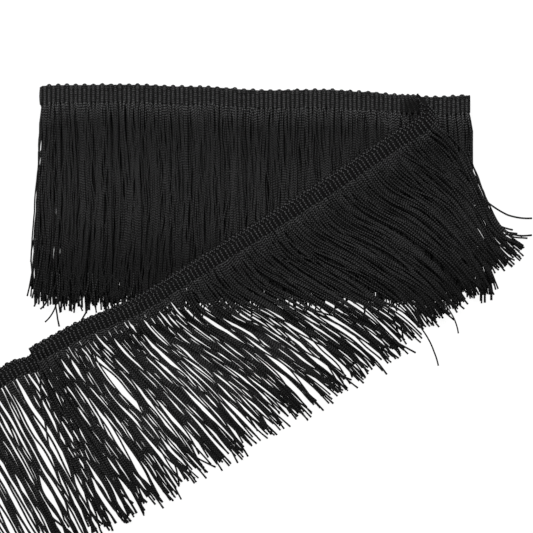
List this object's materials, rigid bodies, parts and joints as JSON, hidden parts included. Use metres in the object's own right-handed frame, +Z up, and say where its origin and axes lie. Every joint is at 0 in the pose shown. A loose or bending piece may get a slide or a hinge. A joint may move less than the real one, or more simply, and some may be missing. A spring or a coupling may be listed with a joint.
{
  "type": "tassel fringe trim",
  "caption": "Cut chainette fringe on a narrow ribbed heading, folded into a flat stack with its loose end laid across and down to the surface.",
  "frame": {"origin": "on the surface it lies on, under the middle of the whole", "axes": "+X along the folded stack, +Y towards the stack's headed edge, +Z up off the surface"},
  "size_m": [0.4352, 0.3582, 0.013],
  "materials": {
    "heading_yarn": "black viscose gimp, softly lustrous over woven ribs",
    "fringe_cord": "black chainette cord, softly lustrous, cut ends"
  },
  "bodies": {
    "root": {"heading": "heading_yarn", "fringe_layer_1": "fringe_cord", "fringe_layer_2": "fringe_cord", "fringe_layer_3": "fringe_cord", "fringe_layer_4": "fringe_cord", "fringe_layer_5": "fringe_cord", "fringe_tail": "fringe_cord", "fringe_tail_end": "fringe_cord"}
  },
  "joints": []
}
